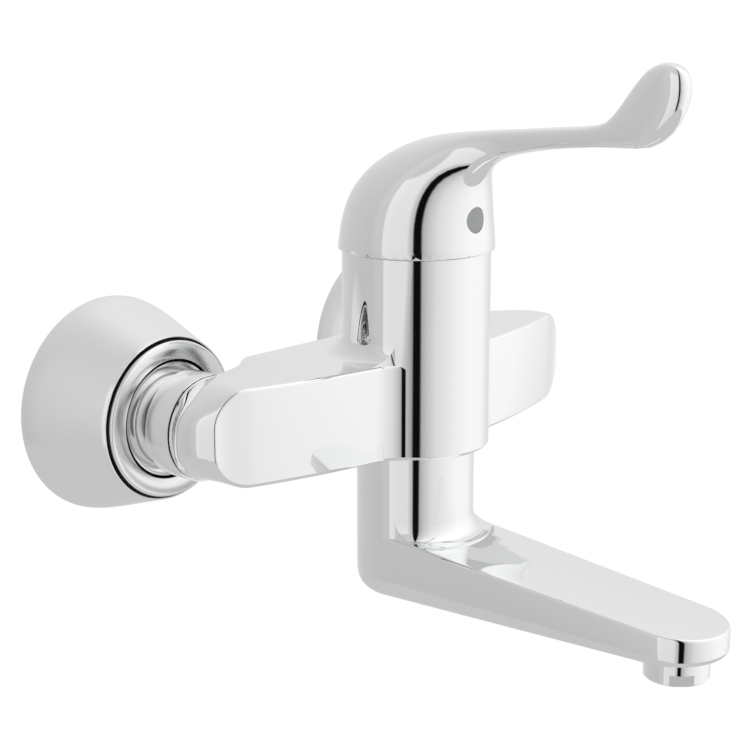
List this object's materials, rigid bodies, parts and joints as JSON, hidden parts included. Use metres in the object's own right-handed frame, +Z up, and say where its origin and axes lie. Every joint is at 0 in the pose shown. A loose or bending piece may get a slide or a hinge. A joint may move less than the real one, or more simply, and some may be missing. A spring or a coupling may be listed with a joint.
{
  "type": "elbow lever tap",
  "caption": "Wall-mounted single-lever mixer with a long elbow lever, bowed side arms and a swivel spout under the body.",
  "frame": {"origin": "on the wall plane, midway between the two wall inlets, at the height of the escutcheons' centres", "axes": "+Y into the wall and -Y towards the user, +Z up, +X to the right as seen from the front"},
  "size_m": [0.2296, 0.235, 0.203],
  "materials": {
    "body_chrome": "polished chrome plate",
    "lever_chrome": "polished chrome plate",
    "spout_chrome": "polished chrome plate",
    "escutcheon_chrome": "polished chrome plate",
    "insert_chrome": "polished chrome plate",
    "nut_chrome": "polished chrome plate",
    "union_chrome": "polished chrome plate",
    "aerator_chrome": "polished chrome plate",
    "brass": "machined",
    "steel": "turned",
    "rubber": "matt",
    "white_plastic": "moulded",
    "grey_plastic": "moulded",
    "plug_grey": "moulded",
    "red_plastic": "moulded",
    "blue_enamel": "enamel",
    "ceramic_discs": "lapped ceramic"
  },
  "bodies": {
    "root": {"mixer_body": "body_chrome", "spout_lock_screw": "steel", "cartridge_base": "white_plastic", "port_seals": "rubber", "cartridge_housing": "white_plastic", "fixed_disc": "ceramic_discs", "retaining_ring": "brass", "temperature_limiter": "red_plastic", "inlet_nipple_left": "brass", "inlet_nipple_right": "brass", "union_nut_left": "nut_chrome", "union_nut_right": "nut_chrome", "strainer_seal_left": "rubber", "strainer_seal_right": "rubber", "s_union_left": "union_chrome", "s_union_right": "union_chrome", "escutcheon_left": "escutcheon_chrome", "escutcheon_right": "escutcheon_chrome", "escutcheon_insert_left": "insert_chrome", "escutcheon_insert_right": "insert_chrome"},
    "turret": {"cartridge_turret": "white_plastic", "spindle_pin": "steel"},
    "lever": {"lever": "lever_chrome", "spindle": "brass", "set_screw": "steel", "screw_plug": "plug_grey", "temperature_mark": "blue_enamel"},
    "disc": {"moving_disc": "ceramic_discs", "disc_carrier": "grey_plastic"},
    "spout": {"spout": "spout_chrome", "spout_slide_ring": "white_plastic", "spout_o_rings": "rubber", "aerator_housing": "aerator_chrome", "aerator_insert": "white_plastic", "aerator_seal": "rubber"}
  },
  "joints": [
    {"name": "temperature_swing", "type": "hinge", "parent": "root", "child": "turret", "pos_m": [0, -0.0856, 0.048], "axis": [0, 0, 1], "range_deg": [-50, 50]},
    {"name": "lever_lift", "type": "hinge", "parent": "turret", "child": "lever", "pos_m": [0, -0.0856, 0.048], "axis": [-1, 0, 0], "range_deg": [0, 20]},
    {"name": "disc_slide", "type": "slide", "parent": "turret", "child": "disc", "axis": [0, -1, 0], "range_m": [0, 0.0046]},
    {"name": "spout_swivel", "type": "hinge", "parent": "root", "child": "spout", "pos_m": [0, -0.0856, 0], "axis": [0, 0, 1], "range_deg": [-75, 75]}
  ],
  "couplings": [
    {"joint": "disc_slide", "follows": "lever_lift", "m_per_rad": 0.01215}
  ]
}
